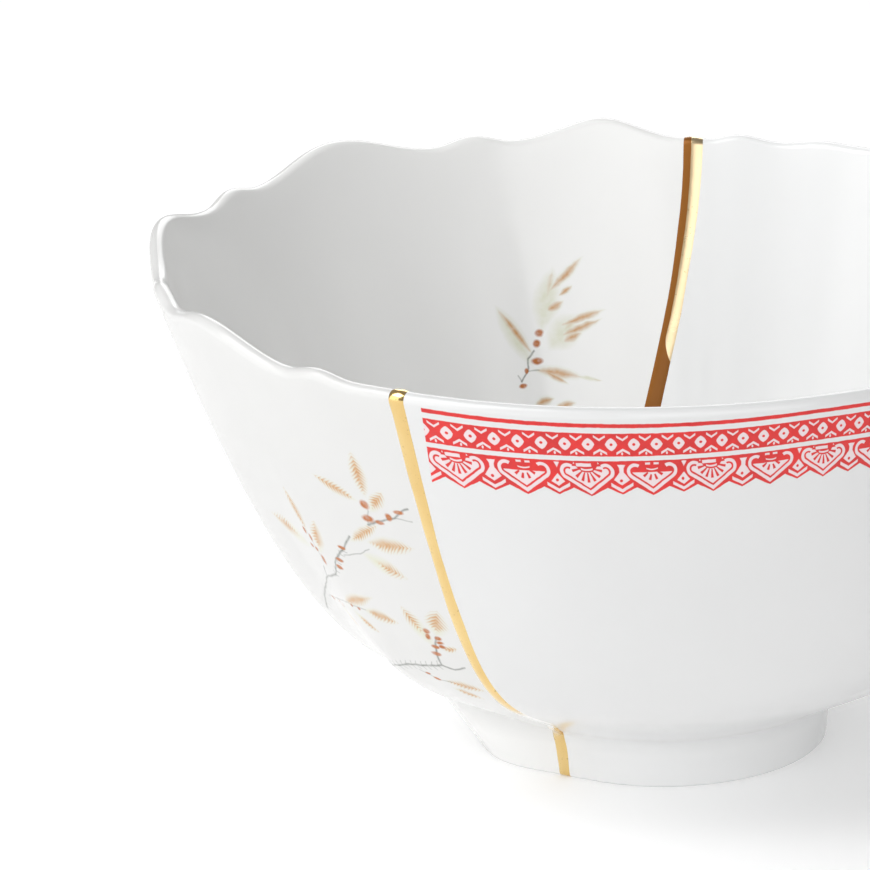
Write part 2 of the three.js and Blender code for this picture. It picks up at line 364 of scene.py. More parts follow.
def foot_section(s, part, share, proud):
    """Under the bowl: the hollow's roof and side, and the ring that stands on the table."""
    ring_inside = s.foot_radius - FOOT_RING_WIDTH
    corner = place(ring_inside - RECESS_DRAFT - proud, RECESS_HEIGHT - proud)
    if part == "middle_roof":
        return place(np.full_like(s.foot_radius, share), RECESS_HEIGHT - proud)
    if part == "roof":
        return place(mix(MIDDLE_RADIUS, corner[..., 0], share), RECESS_HEIGHT - proud)
    if part == "hollow":
        return mix(corner, place(ring_inside - proud, FOOT_EDGE), share)
    if part == "stand":
        inner, outer = ring_inside + FOOT_EDGE, s.foot_radius - FOOT_EDGE
        return place(mix(inner, outer, share), 0.0)
    if part == "inner_edge":
        corners = [place(ring_inside - proud, FOOT_EDGE), place(ring_inside, 0.0),
                   place(ring_inside + FOOT_EDGE, 0.0)]
    else:
        corners = [place(s.foot_radius - FOOT_EDGE, 0.0), place(s.foot_radius, 0.0),
                   place(s.foot_radius + proud, FOOT_EDGE)]
    return bezier(corners, share)[0]


def shoulder_section(s, part, share, proud):
    """The foot's side, and the fillet that leads it into the belly."""
    side = s.foot_top - place(s.foot_radius, 0)
    side = side / np.linalg.norm(side, axis=-1, keepdims=True)
    side_top = s.foot_top - s.fillet[..., None] * side
    if part == "side":
        outward = place(proud * side[..., 1], -proud * side[..., 0])
        return mix(place(s.foot_radius + proud, FOOT_EDGE), side_top + outward, share)
    belly_end, _ = bezier(s.belly, s.belly_start[..., None])
    spot, heading = bezier([side_top, s.foot_top, belly_end], share)
    return spot + place(proud * heading[..., 1], -proud * heading[..., 0])


def half_section(azimuth, part, share, proud=0):
    """Radius and height at a share of one part of the half section, at each azimuth.

    Proud moves every face outwards by that much, except the one that stands on the table. For the
    middle of the roof and of the floor the share is the radius itself.
    """
    s = Section(azimuth)
    if part in FOOT_PARTS:
        return foot_section(s, part, share, proud)
    if part in ("side", "fillet"):
        return shoulder_section(s, part, share, proud)
    if part == "belly":
        return s.on_wall(mix(s.belly_start, 1, share), -proud)[0]
    if part == "lip":
        middle, over = s.on_wall(np.ones_like(s.belly_start), RIM_THICKNESS / 2)
        turn = math.pi * share
        up = place(over[..., 1], -over[..., 0])
        spoke = math.sin(turn) * up - math.cos(turn) * over
        return middle + spoke * (RIM_THICKNESS / 2 + np.asarray(proud, float)[..., None])
    if part == "inside":
        t = mix(1, INNER_START, share)
        depth = mix(WALL_AT_FOOT, RIM_THICKNESS, t) + proud
        return s.on_wall(np.full_like(s.belly_start, t), depth)[0]
    if part == "floor":
        radius = mix(s.floor_ends(proud)[0][..., 0], MIDDLE_RADIUS, share)
    else:
        radius = np.full_like(s.foot_radius, share)
    return place(radius, s.floor_height(radius, proud))


def shares(part, count, start=0.0, end=1.0):
    """Rows of one part, its end left to the part that follows."""
    return [(part, mix(start, end, i / count)) for i in range(count)]


# The crack


def crack_at(height):
    """Azimuths of the crack at a height, at the back and at the front."""
    down = min(max(1 - height / BOWL_HEIGHT, 0), 1)
    swing = smooth((CRACK_BELLY_HEIGHT - height) / (CRACK_BELLY_HEIGHT - CRACK_FOOT_HEIGHT))
    back = mix(CRACK_BACK_RIM, CRACK_BACK_FOOT, down ** CRACK_BACK_CURVE)
    front = mix(CRACK_FRONT_RIM, CRACK_FRONT_BELLY, down ** CRACK_FRONT_CURVE)
    front = mix(front, CRACK_FRONT_FOOT, swing)
    return back, front


def crack_line(height, aside):
    """The crack in plan at one height, from back to front, carried aside to the lobed half."""
    back, front = crack_at(height)
    far = RIM_RADIUS + 3 * LOBED_SHIFT
    bend = [polar(CRACK_STRAIGHT, back), np.zeros(2), polar(CRACK_STRAIGHT, front)]
    middle = [bezier(bend, t)[0] for t in np.linspace(0, 1, 41)]
    line = np.array([polar(far, back), *middle, polar(far, front)])
    heading = np.gradient(line, axis=0)
    heading /= np.linalg.norm(heading, axis=1, keepdims=True)
    return line + aside * place(heading[:, 1], -heading[:, 0])


def crack_azimuth(radius, height, arm, aside):
    """Azimuth of one arm of the crack at a radius and height."""
    if radius > CRACK_STRAIGHT + abs(aside):
        turn = math.degrees(math.asin(aside / radius))
        back, front = crack_at(height)
        return back + turn if arm == BACK else front - turn
    line = crack_line(height, aside)
    distance = np.hypot(*line.T)
    nearest = distance.argmin()
    run = slice(nearest, None) if arm == FRONT else slice(nearest, None, -1)
    x = np.interp(radius, distance[run], line[run, 0])
    y = np.interp(radius, distance[run], line[run, 1])
    return math.degrees(math.atan2(y, x)) % 360


def edge_azimuth(row, arm, aside):
    """Azimuth at which a row of the section meets one arm of the crack."""
    azimuth = crack_at(BOWL_HEIGHT)[arm == FRONT]
    for _ in range(4):
        radius, height = half_section(azimuth, *row)
        azimuth = crack_azimuth(radius, height, arm, aside)
    return azimuth


def wall_rows():
    """Rows of the half section: from the hollow's roof, up the outside and down to the floor."""
    rows = shares("roof", 3) + shares("hollow", 4) + shares("inner_edge", 3) + shares("stand", 2)
    rows += shares("outer_edge", 3) + shares("side", 5) + shares("fillet", 10)
    rows += shares("belly", BELLY_ROWS) + shares("lip", LIP_ROWS) + shares("inside", INSIDE_ROWS)
    return rows + shares("floor", 8) + [("floor", 1)]


# Meshes


def at_azimuth(azimuth, section):
    """Points in the bowl's own space from azimuths and sections."""
    plan = polar(section[..., 0], azimuth)
    return np.concatenate([plan, section[..., 1:]], -1)


def finish_mesh(name, bm, material):
    """An object of the finished mesh, smooth but for its sharp edges, in place over the frame."""
    bmesh.ops.recalc_face_normals(bm, faces=bm.faces)
    mesh = bpy.data.meshes.new(name)
    bmesh.ops.scale(bm, vec=(MM, MM, MM), verts=bm.verts)
    bmesh.ops.translate(bm, vec=AXIS, verts=bm.verts)
    bm.to_mesh(mesh)
    bm.free()
    mesh.shade_smooth()
    mesh.set_sharp_from_angle(angle=math.radians(SHARP_ANGLE))
    mesh.materials.append(material)
    piece = bpy.data.objects.new(name, mesh)
    bpy.context.scene.collection.objects.link(piece)
    return piece


def paint_regions(piece, *regions):
    """Gives the faces of each painted region its own finish."""
    mesh = piece.data
    for material, turns, heights, is_outside in regions:
        mesh.materials.append(material)
        slot = len(mesh.materials) - 1
        for face in mesh.polygons:
            spot = (face.center - AXIS) / MM
            turn = math.degrees(math.atan2(spot.y, spot.x)) % 360
            faces_out = face.normal.x * spot.x + face.normal.y * spot.y > 0
            if heights[0] < spot.z < heights[1] and faces_out == is_outside \
                    and any(start < turn < end for start, end in turns):
                face.material_index = slot


def grid_faces(bm, points):
    """A skin of four-sided faces over rows of points, its four sides' vertices still apart."""
    rows = [[bm.verts.new(p) for p in row] for row in points]
    for below, above in zip(rows, rows[1:]):
        for i in range(len(below) - 1):
            bm.faces.new((below[i], below[i + 1], above[i + 1], above[i]))
    return rows


def close_crack_face(bm, loop):
    """Faces across a loop that follows the crack all round the wall."""
    flat = [Vector((v.co.y, v.co.z, 0)) for v in loop]
    for triangle in geometry.tessellate_polygon([flat]):
        corners = [loop[i] for i in triangle]
        if len(set(corners)) == 3:
            bm.faces.new(corners)


def boundary_loop(bm):
    """Vertices of the one open edge of a skin, in order."""
    edges = {e for e in bm.edges if e.is_boundary}
    start = next(iter(edges))
    loop = [start.verts[0]]
    spot, edge = start.verts[1], start
    while spot is not loop[0]:
        loop.append(spot)
        edge = next(e for e in spot.link_edges if e in edges and e is not edge)
        spot = edge.other_vert(spot)
    return loop


def middle_radii(height, aside, is_plain):
    """Radii of the rows in the middle, closer together where the crack passes the axis."""
    nearest = 0.999 * np.hypot(*crack_line(height, aside).T).min()
    radii = [mix(nearest, MIDDLE_RADIUS, (i / MIDDLE_ROWS) ** 2) for i in range(MIDDLE_ROWS)]
    return [0, nearest / 2, *radii] if is_plain else radii


def porcelain_half(name, direction, material):
    """One half of the bowl: its skin from crack to crack, and the broken face under the gold."""
    aside = {
        BACK: direction * (GOLD_WIDTH_BACK / 2 - GOLD_OVERLAP),
        FRONT: direction * (GOLD_WIDTH_FRONT / 2 - GOLD_OVERLAP),
    }
    middle_aside = (aside[BACK] + aside[FRONT]) / 2
    is_plain = direction < 0
    roof = middle_radii(RECESS_HEIGHT, middle_aside, is_plain)
    floor = middle_radii(FLOOR_HEIGHT, middle_aside, is_plain)
    rows = [("middle_roof", radius) for radius in roof] + wall_rows()
    rows += [("middle_floor", radius) for radius in reversed(floor)]
    points = []
    for row in rows:
        is_middle = row[0].startswith("middle")
        back, front = (
            edge_azimuth(row, arm, middle_aside if is_middle else aside[arm])
            for arm in (BACK, FRONT)
        )
        azimuths = np.linspace(back, front - 360 * is_plain, HALF_COLUMNS + 1)
        points.append(at_azimuth(azimuths, half_section(azimuths, *row)))
    bm = bmesh.new()
    grid_faces(bm, points)
    bmesh.ops.remove_doubles(bm, verts=bm.verts, dist=WELD)
    close_crack_face(bm, boundary_loop(bm))
    return finish_mesh(name, bm, material)


def gold_edge(arm, height, across):
    """How far the gold reaches to one side, a little uneven as brushed lacquer is."""
    width = GOLD_WIDTH_BACK if arm == BACK else GOLD_WIDTH_FRONT
    seed = 5 * (arm == BACK) + 11 * (across > 0)
    slow = noise.noise(Vector((height * 0.07, seed, 0)))
    quick = noise.noise(Vector((height * 0.3, seed, 4))) / 3
    flare = GOLD_FLARE * smooth((height - GOLD_FLARE_FROM) / (BOWL_HEIGHT - GOLD_FLARE_FROM))
    return across * (width / 2 + flare + GOLD_UNEVEN * (slow + quick))


GOLD_COLUMNS = np.array((-1, -0.88, -0.62, -0.22, 0.22, 0.62, 0.88, 1))
GOLD_PROUD = (GOLD_CROWN + GOLD_SINK) * (1 - GOLD_COLUMNS ** 2) ** 0.9 - GOLD_SINK


def gold_arm(arm):
    """The gold's top along one arm of the crack, from the hollow's roof round to the floor."""
    strip = []
    for row in wall_rows():
        radius, height = half_section(edge_azimuth(row, arm, 0), *row)
        azimuths = np.array([
            crack_azimuth(radius, height, arm, gold_edge(arm, height, across))
            for across in GOLD_COLUMNS
        ])
        strip.append(at_azimuth(azimuths, half_section(azimuths, *row, GOLD_PROUD)))
    return strip


def gold_middle(part, height):
    """The gold's top across the middle, from the back arm to the front one."""
    centre = crack_line(height, 0)
    stations = [i for i, spot in enumerate(centre) if math.hypot(*spot) < MIDDLE_RADIUS - 1]
    strip = []
    for i in stations:
        along = (i - stations[0]) / (stations[-1] - stations[0])
        asides = [
            mix(gold_edge(BACK, height, across), gold_edge(FRONT, height, across), along)
            for across in GOLD_COLUMNS
        ]
        x, y = np.array([crack_line(height, aside)[i] for aside in asides]).T
        azimuths = np.degrees(np.arctan2(y, x))
        strip.append(at_azimuth(azimuths, half_section(azimuths, part, np.hypot(x, y), GOLD_PROUD)))
    return strip


def gold_line(name, material):
    """The whole join: one band round both arms and across the middle, solid through the wall."""
    back, front = gold_arm(BACK), gold_arm(FRONT)
    floor = gold_middle("middle_floor", FLOOR_HEIGHT)
    roof = gold_middle("middle_roof", RECESS_HEIGHT)
    band = [*back, *floor, *reversed(front), *reversed(roof)]
    bm = bmesh.new()
    rows = grid_faces(bm, [*band, band[0]])
    bmesh.ops.remove_doubles(bm, verts=rows[0] + rows[-1], dist=WELD)
    for side in (0, -1):
        close_crack_face(bm, [row[side] for row in rows[1:] if row[side].is_valid])
    return finish_mesh(name, bm, material)


# Finishes


class Field:
    """A number that varies over a surface. Sums with it become Math nodes."""

    def __init__(self, finish, socket):
        self.finish = finish
        self.socket = socket

    def _math(self, operation, *terms):
        return self.finish.math(operation, *terms)

    def __add__(self, other):
        return self._math("ADD", self, other)

    def __radd__(self, other):
        return self._math("ADD", other, self)

    def __sub__(self, other):
        return self._math("SUBTRACT", self, other)

    def __rsub__(self, other):
        return self._math("SUBTRACT", other, self)

    def __mul__(self, other):
        return self._math("MULTIPLY", self, other)

    def __rmul__(self, other):
        return self._math("MULTIPLY", other, self)

    def __truediv__(self, other):
        return self._math("DIVIDE", self, other)

    def __rtruediv__(self, other):
        return self._math("DIVIDE", other, self)

    def __neg__(self):
        return self._math("MULTIPLY", self, -1)

    def __abs__(self):
        return self._math("ABSOLUTE", self)

    def __lt__(self, other):
        return self._math("LESS_THAN", self, other)

    def __gt__(self, other):
        return self._math("GREATER_THAN", self, other)


class Finish:
    """A material in the making: one glossy shader, and the fields that paint it."""

    def __init__(self, name):
        self.material = bpy.data.materials.new(name)
        self.material.use_nodes = True
        self.tree = self.material.node_tree
        self.shader = self.tree.nodes["Principled BSDF"]
        position = self.node("ShaderNodeTexCoord").outputs["Object"]
        self.spot = self.node(
            "ShaderNodeVectorMath", {"operation": "SUBTRACT"}, {0: position, 1: tuple(AXIS)}
        ).outputs[0]

    def node(self, kind, settings=None, inputs=None):
        """Any node: its settings first, then the values or links of its sockets."""
        node = self.tree.nodes.new(kind)
        for name, value in (settings or {}).items():
            setattr(node, name, value)
        for key, value in (inputs or {}).items():
            self.feed(node.inputs[key], value)
        return node

    def feed(self, socket, value):
        if isinstance(value, Field):
            value = value.socket
        if isinstance(value, bpy.types.NodeSocket):
            self.tree.links.new(value, socket)
        else:
            socket.default_value = value

    def math(self, operation, *terms):
        inputs = dict(enumerate(terms))
        return Field(self, self.node("ShaderNodeMath", {"operation": operation}, inputs).outputs[0])

    def set(self, **inputs):
        """Sockets of the shader, by their names with the spaces as underscores."""
        for name, value in inputs.items():
            self.feed(self.shader.inputs[name.replace("_", " ")], value)

    def least(self, a, b):
        return self.math("MINIMUM", a, b)

    def most(self, a, *others):
        for b in others:
            a = self.math("MAXIMUM", a, b)
        return a

    def length(self, x, y):
        return self.math("SQRT", x * x + y * y)

    def pick(self, mask, inside, outside):
        """One value where the mask is 1 and the other where it is 0."""
        return outside + (inside - outside) * mask

    def within(self, distance, blur):
        """1 where a distance is below nothing, 0 where it is above, with a soft edge."""
        node = self.node(
            "ShaderNodeMapRange", {"clamp": True},
            {"Value": distance, "From Min": blur / 2, "From Max": -blur / 2},
        )
        return Field(self, node.outputs["Result"])

    def blend(self, mask, over, under):
        """One colour over another, as far as the mask says."""
        node = self.node("ShaderNodeMix", {"data_type": "RGBA"})
        self.feed(node.inputs["Factor"], mask)
        self.feed(node.inputs[6], under)
        self.feed(node.inputs[7], over)
        return node.outputs[2]

    def noise(self, scale, detail=2.0, offset=(0, 0, 0)):
        """Soft noise over the surface, about -0.5 to 0.5. The scale is in patches a metre."""
        moved = self.node("ShaderNodeVectorMath", {"operation": "ADD"}, {0: self.spot, 1: offset})
        node = self.node(
            "ShaderNodeTexNoise", {}, {"Vector": moved.outputs[0], "Scale": scale, "Detail": detail}
        )
        return Field(self, node.outputs[0]) - 0.5


class WallFinish(Finish):
    """A finish that also knows the azimuth, the height and the side of the wall."""

    def __init__(self, name):
        super().__init__(name)
        parts = self.node("ShaderNodeSeparateXYZ", {}, {0: self.spot})
        x, y, z = (Field(self, socket) for socket in parts.outputs)
        self.height = z / MM
        self.radius = self.length(x, y) / MM
        self.turn = self.math("ARCTAN2", y, x) * math.degrees(1)
        normal = self.node("ShaderNodeNewGeometry").outputs["Normal"]
        facing = self.node(
            "ShaderNodeVectorMath", {"operation": "DOT_PRODUCT"}, {0: normal, 1: self.spot}
        ).outputs["Value"]
        lift = self.node("ShaderNodeSeparateXYZ", {}, {0: normal}).outputs[2]
        outward = Field(self, facing) - Field(self, lift) * z
        self.is_outside = outward > 0


def porcelain(finish, colour, shade):
    """Clear glaze over white clay: a hard gloss over a faintly uneven white, with painted shade
    that darkens the outside above the foot.
    """
    tone = finish.noise(9, 3)
    ripple = finish.noise(38, 2, (0.3, 0, 0))
    fine = finish.noise(420, 2, (0, 0.4, 0))
    # Painted shade: a darker copy of the white, laid on the outside above the foot.
    outer = [shade * c for c in colour]
    deeper = [DEEPER_WHITE * c for c in colour]
    painted_shade_mask = finish.is_outside * finish.within(PAINTED_SHADE_FROM - finish.height, 10)
    body = finish.blend(painted_shade_mask, (*outer, 1), (*colour, 1))
    body = finish.blend(finish.within(0.12 - tone, 0.5) * 0.5, (*deeper, 1), body)
    bump = finish.node(
        "ShaderNodeBump", {},
        {"Height": ripple + fine * 0.02, "Strength": 0.05, "Distance": 0.0005},
    )
    finish.set(
        Roughness=0.17 + 0.04 * finish.noise(60, 2, (0, 0, 0.7)),
        Normal=bump.outputs[0],
        Specular_IOR_Level=0.4,
        Coat_Roughness=0.03,
    )
    return body


class Lace:
    """The grid that the red border is drawn on: along the rim, and down from the border's top.

    It is laid out in a draughtsman's unit, LACE_DOWN of them to a millimetre of height.
    """

    def __init__(self, finish):
        f = self.finish = finish
        azimuth = f.pick(f.turn < BORDER_END - 360, f.turn + 360, f.turn) - FRONT_AZIMUTH
        self.azimuth = f.pick(azimuth < BORDER_END - 360 - FRONT_AZIMUTH, azimuth + 360, azimuth)
        held = f.least(self.azimuth, BORDER_STEADY)
        self.run = held + BORDER_WARP * held * held \
            + (self.azimuth - held) * (1 + 2 * BORDER_WARP * BORDER_STEADY)
        self.sway_x, sway_y = f.noise(700, 2), f.noise(700, 2, (0.2, 0.5, 0))
        off_middle = (self.azimuth - BORDER_MIDDLE) / BORDER_SPREAD
        lift = f.least(off_middle * off_middle, 1) * BORDER_LIFT
        past_middle = f.least(self.azimuth, BORDER_STEADY / 2) - BORDER_MIDDLE
        closer = 1 + past_middle * BORDER_TIGHTEN
        self.down = (BORDER_TOP + lift - f.height) * LACE_DOWN * closer + sway_y * LACE_SWAY

    def within(self, distance):
        return self.finish.within(distance, LACE_BLUR)

    def between(self, top, bottom):
        return self.within(top - self.down) * self.within(self.down - bottom)

    def nearest(self, turns, pitch):
        """Distance along the rim from the nearest whole turn, and that turn."""
        near = self.finish.math("ROUND", turns)
        return (turns - near) * pitch + self.sway_x * LACE_SWAY, near

    def is_odd(self, count):
        f = self.finish
        return f.math("ABSOLUTE", f.math("MODULO", count, 2.0)) > 0.5

    def there(self):
        """1 on the plain half's outside, from the border's start to its end."""
        f = self.finish
        start = BORDER_START - FRONT_AZIMUTH + (97 - f.height) * BORDER_SLANT
        end = BORDER_END - FRONT_AZIMUTH
        return f.is_outside * f.within(start - self.azimuth, 0.06) \
            * f.within(self.azimuth - end, 0.06)


def band_figures(lace):
    """White figures of the band: rings, and chevrons and ticks in the gaps between them."""
    f, within, down = lace.finish, lace.within, lace.down
    turns = RING_AT_FRONT + RINGS_PER_DEGREE * lace.run
    ring_x, _ = lace.nearest(turns, RING_PITCH)
    gap_x, gap_index = lace.nearest(turns + 0.5, RING_PITCH)
    ring_y = down - RING_LINE
    ring = 0.55 * f.length(ring_x, ring_y) + 0.36 * (abs(ring_x) + abs(ring_y))
    ring = within(ring - 88) * within(26 - f.length(ring_x, ring_y * 1.2))
    side = abs(gap_x)
    upper = abs(down - (BAND_TOP + 100) + 0.62 * side) * 0.85 - 14
    lower = abs(down - (BAND_BOTTOM - 103) - 0.55 * side) * 0.88 - 16
    tick_x = gap_x - 14 * f.pick(lace.is_odd(gap_index), 1, -1)
    tick = f.length(tick_x, (down - BAND_BOTTOM + 44) * 0.7) - 15
    return f.most(
        ring, within(upper) * within(side - 92), within(lower) * within(side - 108), within(tick)
    )


def heart_figures(lace, heart_x, index, y):
    """White figures of the hearts: an outline with a fan in it, of two kinds in turn."""
    f, within, odd = lace.finish, lace.within, lace.is_odd(index)
    x = heart_x + f.pick(odd, 0.03, 0.1) * (HEART_TIP - y)
    wide = abs(x)

    # Outline: two round shoulders that run down to the tip
    off_x, off_y = wide - f.pick(odd, 268, 284), y - 165
    beside = 0.573 * off_x + 0.819 * off_y
    beyond = (0.573 * off_y - 0.819 * off_x) < 0
    edge = f.pick(beyond, f.length(off_x, off_y), f.most(beside, 0)) - 125
    open_top = within(172 - wide - f.most(y - 60, 0) * 4)
    outline = within(edge) * within(-50 - edge) * open_top

    # Fan with its rays
    hub_y = f.pick(odd, 182 - y, 180 - f.length(x, y))
    fan = within(edge + 80) * within(hub_y)
    ray_y = y - f.pick(odd, 125, 95)
    angle = f.math("ARCTAN2", x, ray_y) * math.degrees(1) + f.pick(odd, -4, 0)
    pitch = f.pick(odd, 36, 25)
    turns = angle / pitch + f.pick(odd, 0.5, 0)
    reach = f.length(x, ray_y)
    ray_off = abs(turns - f.math("ROUND", turns)) * pitch * reach * math.radians(1)
    ray = within(ray_off - f.pick(odd, 0.13, 0.1) * reach) \
        * within(reach - f.pick(odd, 185, 236)) * within(f.pick(odd, 95, 90) - reach)

    # Bar and arc over the fan
    bar_x = f.pick(odd, abs(wide - 66) - 38, abs(x + 36) - 112)
    bar = f.most(bar_x, abs(y - f.pick(odd, 45, 62)) - f.pick(odd, 15, 25))
    arc_y = y - 140 + x * x * 0.0022
    arc = f.most(wide - 88, abs(arc_y) - f.pick(odd, 9, 13))
    return f.most(outline, fan * (1 - ray), within(bar), within(arc))


def hanging_figures(lace, across_x, index, y):
    """White figures between the hearts: a vase or a gem in turn, and a chevron under each."""
    f, within = lace.finish, lace.within
    across = abs(across_x)
    vase = f.least((377 - y) * 1.5, f.most(33 + (y - 175) * 0.75, 60 - (y - 60) * 0.5, 33))
    gem = f.least((390 - y) * 1.5, (y - 200) * 0.85)
    gem = f.most(gem, f.least((105 - y) * 0.5, (y - 20) * 9))
    half = f.pick(lace.is_odd(index), f.pick(y < 57, -40, vase), gem)
    hanging = within((across - half) * 0.75) * within(24 - f.length(across_x + 12, y - 305))
    chevron = within(abs(y - 460 + 0.56 * across) * 0.87 - 22) * within(across - 172)
    return f.most(hanging, chevron)


def red_border(finish, ground):
    """Lace border under the plain rim: a thin line, a band of rings and chevrons, and hearts."""
    lace = Lace(finish)
    line = lace.within(abs(lace.down - LINE_MIDDLE) - LINE_HALF)
    band = lace.between(BAND_TOP, BAND_BOTTOM)
    band_white = band_figures(lace)

    turns = HEART_AT_FRONT + HEARTS_PER_DEGREE * lace.run
    heart_x, heart_index = lace.nearest(turns, HEART_PITCH)
    between_x, between_index = lace.nearest(turns + 0.5, HEART_PITCH)
    y = lace.down - LACE_TOP
    hem = finish.most(545 - 0.51 * abs(heart_x), 520 - 0.47 * abs(between_x))
    hearts = lace.within(-y) * lace.within(y - hem)
    hearts_white = finish.most(
        heart_figures(lace, heart_x, heart_index, y),
        hanging_figures(lace, between_x, between_index, y),
    )

    there = lace.there()
    red = finish.most(line, band * (1 - band_white), hearts * (1 - hearts_white)) * there
    tint = finish.most(band * band_white, hearts * hearts_white) * there
    ink_mask = finish.within(lace.sway_x + finish.noise(150, 2, (0.1, 0, 0.3)), 0.5)
    ink = finish.blend(ink_mask, RED_DEEP, RED_BRIGHT)
    return finish.blend(red * 0.97, ink, finish.blend(tint * 0.6, LACE_GROUND, ground))


class Sprig:
    """Painted strokes on one part of the wall, in millimetres across and up from its own middle."""

    def __init__(self, finish, azimuth, middle, radius, heading=1, barbs=0.0):
        f = self.finish = finish
        self.barbs = barbs
        across = (azimuth - middle[0]) * (heading * math.radians(radius))
        sway = f.noise(500, 1) * 0.5
        self.spot = f.node(
            "ShaderNodeCombineXYZ", {}, {0: across + sway, 1: f.height - middle[1] - sway}
        ).outputs[0]
        self.nearest = {}

    def local(self, at, turn, scale):
        """The spot in a stroke's own frame."""
        return self.finish.node("ShaderNodeMapping", {"vector_type": "TEXTURE"}, {
            "Vector": self.spot, "Location": (*at, 0),
            "Rotation": (0, 0, turn), "Scale": (*scale, 1),
        }).outputs[0]

    def split(self, vector):
        parts = self.finish.node("ShaderNodeSeparateXYZ", {}, {0: vector}).outputs
        return Field(self.finish, parts[0]), Field(self.finish, parts[1])

    def vector(self, operation, *terms):
        inputs = dict(enumerate(terms))
        return self.finish.node("ShaderNodeVectorMath", {"operation": operation}, inputs).outputs

    def join(self, kind, distance):
        """Adds one stroke's distance to those of its kind."""
        held = self.nearest.get(kind)
        self.nearest[kind] = distance if held is None else self.finish.least(held, distance)

    def leaf(self, base, tip, width, turned):
        """A feathered leaf; turned is the share of it, from its tip, that has gone brown."""
        f = self.finish
        run = Vector(tip) - Vector(base)
        here = self.local(base, math.atan2(run.y, run.x), (run.length, width / 2))
        along, across = self.split(here)
        across = abs(across)
        edge = across - along * (4 - 4 * along)
        self.join("wash", edge)
        if self.barbs:
            slant = along * (self.barbs * run.length)
            strokes = f.math("MULTIPLY_ADD", across, self.barbs * 0.4 * width, slant)
            edge = f.math("MULTIPLY_ADD", f.math("SINE", strokes), 0.45, edge)
        unturned = f.most(f.math("MULTIPLY_ADD", along, -3.0, 3 * (1 - turned)), 0)
        self.join("brown", edge + unturned)

    def twig(self, kind, *points):
        """A twig through some points."""
        for start, end in zip(points, points[1:]):
            run = Vector(end) - Vector(start)
            here = self.local(start, math.atan2(run.y, run.x), (1, 1))
            inner = self.vector("MINIMUM", here, (run.length, 0, 0))[0]
            nearest = self.vector("MAXIMUM", inner, (0, 0, 0))[0]
            self.join(kind, Field(self.finish, self.vector("DISTANCE", here, nearest)["Value"]))

    def thorns(self, start, end, pitch, reach):
        """Short slanting strokes off both sides of a twig."""
        f = self.finish
        run = Vector(end) - Vector(start)
        along, across = self.split(self.local(start, math.atan2(run.y, run.x), (1, 1)))
        across = abs(across)
        stroke = f.math("PINGPONG", along - 0.6 * across, pitch / 2)
        beyond = f.most(across - reach, abs(along - run.length / 2) - run.length / 2)
        self.join("hair", f.most(stroke, beyond))

    def berry(self, x, y, half_width, half_height):
        here = self.local((x, y), 0, (half_width, half_height))
        self.join("berry", Field(self.finish, self.vector("LENGTH", here)["Value"]))

    def paint(self, ground):
        """The strokes over the ground."""
        f = self.finish
        patchy = 0.85 + 0.8 * f.noise(700, 2, (0, 0.2, 0))
        layers = (
            ("wash", 0.15, 1.5, 0.75, SPRIG_GREEN), ("brown", -0.25, 1.2, 0.9, SPRIG_BROWN),
            ("twig", 0.2, 0.35, 0.95, SPRIG_GREY), ("hair", 0.1, 0.3, 0.75, SPRIG_GREY),
            ("berry", 1.0, 0.6, 1.1, SPRIG_BERRY),
        )
        for kind, reach, blur, strength, colour in layers:
            if kind in self.nearest:
                mask = f.within(self.nearest[kind] - reach, blur)
                ground = f.blend(mask * patchy * strength, colour, ground)
        return ground


